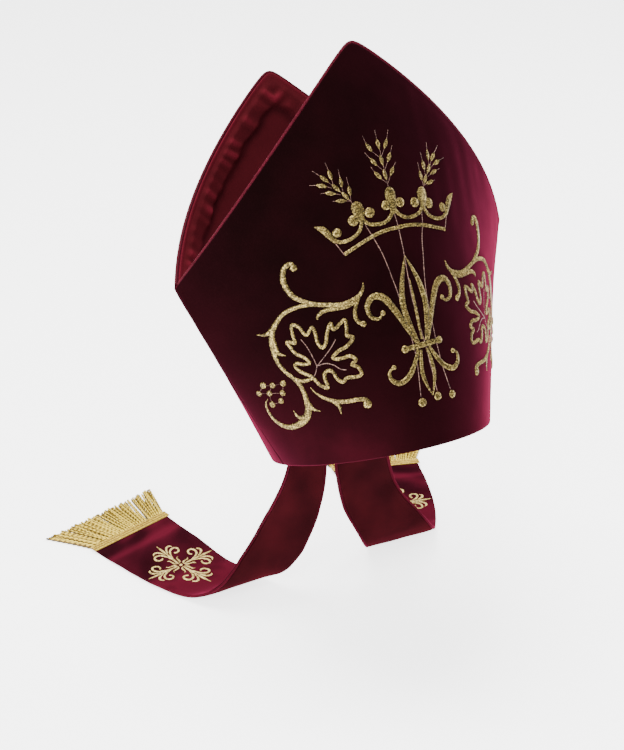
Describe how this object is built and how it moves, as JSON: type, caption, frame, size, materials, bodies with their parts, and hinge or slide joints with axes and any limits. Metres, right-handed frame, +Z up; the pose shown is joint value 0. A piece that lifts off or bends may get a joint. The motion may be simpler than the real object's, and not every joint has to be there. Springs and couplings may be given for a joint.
{
  "type": "bishop mitre",
  "caption": "Tall velvet mitre with pointed front and back horns, satin-lined cleft, corded edges and fringed lappets, tilted back as worn.",
  "frame": {"origin": "centre of the rim's oval, where a head holds the mitre", "axes": "+Z up as worn; the front horn faces -Y and the lappets trail to +Y; +X is to the right seen from the front; the mitre's own axis leans back 24.8 degrees from +Z towards +Y"},
  "size_m": [0.4136, 0.4017, 0.5187],
  "materials": {
    "velvet": "deep burgundy cotton velvet, dark face on, pinkish sheen at a glance",
    "satin": "wine red satin lining with a soft lustre and puckered seams",
    "piping_cord": "cord covered in the same burgundy cloth",
    "gold_braid": "old gold metallic thread, woven heading and twisted bullion"
  },
  "bodies": {
    "root": {"front_panel": "velvet", "back_panel": "velvet", "crown_lining": "satin", "front_piping": "piping_cord", "back_piping": "piping_cord", "left_lappet": "velvet", "right_lappet": "velvet", "left_lappet_lining": "satin", "right_lappet_lining": "satin", "left_heading": "gold_braid", "right_heading": "gold_braid", "left_fringe": "gold_braid", "right_fringe": "gold_braid"}
  },
  "joints": []
}
